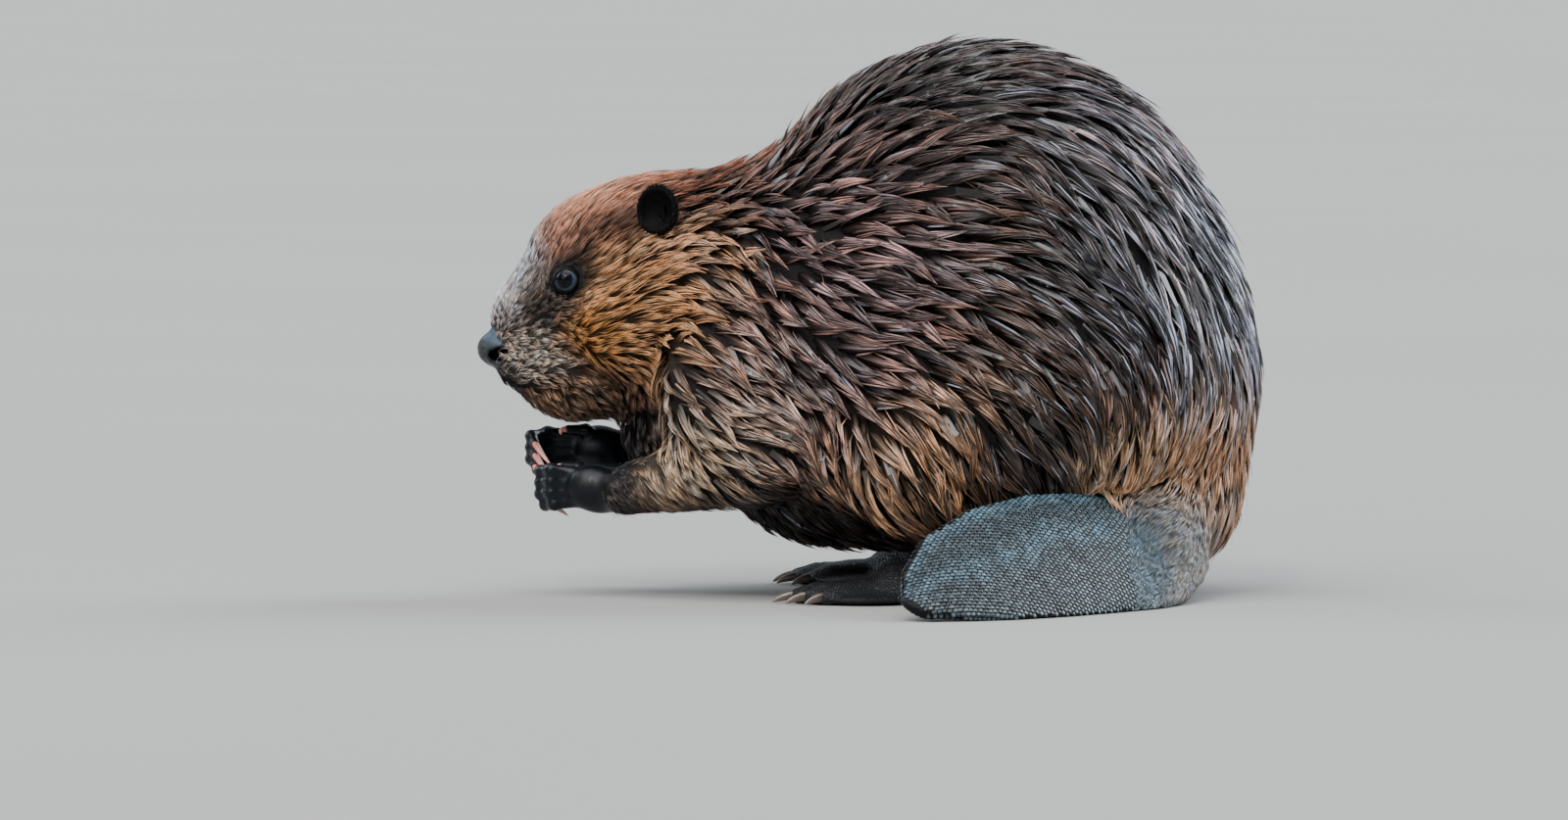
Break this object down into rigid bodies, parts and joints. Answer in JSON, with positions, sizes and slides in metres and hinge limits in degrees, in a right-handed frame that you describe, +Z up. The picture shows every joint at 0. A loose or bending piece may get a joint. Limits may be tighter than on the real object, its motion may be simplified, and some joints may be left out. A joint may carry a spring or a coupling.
{
  "type": "beaver figure",
  "caption": "Life-size still model of a beaver sitting on its haunches, forepaws held together below the chin, with wet brown fur and a flat scaly tail curled to its left side.",
  "frame": {"origin": "on the floor under the middle of the bounding box", "axes": "+Z up; the nose points to -X, the animal's left side and its tail face -Y"},
  "size_m": [0.451, 0.396, 0.3188],
  "materials": {
    "fur": "wet guard hair in pointed locks, dark brown with lighter tips and a cool sheen",
    "fur_head": "short to medium fur, rufous brown, golden on the cheek, grey on the bridge of the nose",
    "bare_skin": "wet black skin, fine grain, semi-gloss",
    "ear_skin": "black, short velvet hair, matt",
    "nose_skin": "dark blue-grey, pebbled, moist",
    "tail_scales": "dark slate scales in rows, wet, cool grey highlights",
    "claw": "pinkish horn, semi-gloss",
    "claw_dark": "dark brown horn, semi-gloss",
    "eye": "near-black with a blue-grey cast, high gloss"
  },
  "bodies": {
    "root": {"trunk": "fur", "neck": "fur", "head": "fur_head", "eye_left": "eye", "eye_right": "eye", "nose": "nose_skin", "ear_left": "ear_skin", "foreleg_left": "fur", "hindleg_left": "fur", "claw_fore_left_1": "claw", "claw_fore_left_2": "claw", "claw_fore_left_3": "claw", "claw_fore_left_4": "claw", "claw_fore_left_5": "claw", "forepaw_left": "bare_skin", "claw_hind_left_1": "claw_dark", "claw_hind_left_2": "claw_dark", "claw_hind_left_3": "claw_dark", "claw_hind_left_4": "claw_dark", "claw_hind_left_5": "claw_dark", "hindfoot_left": "bare_skin", "ear_right": "ear_skin", "foreleg_right": "fur", "hindleg_right": "fur", "claw_fore_right_1": "claw", "claw_fore_right_2": "claw", "claw_fore_right_3": "claw", "claw_fore_right_4": "claw", "claw_fore_right_5": "claw", "forepaw_right": "bare_skin", "claw_hind_right_1": "claw_dark", "claw_hind_right_2": "claw_dark", "claw_hind_right_3": "claw_dark", "claw_hind_right_4": "claw_dark", "claw_hind_right_5": "claw_dark", "hindfoot_right": "bare_skin", "tail_root": "fur", "tail_blade": "tail_scales"}
  },
  "joints": []
}
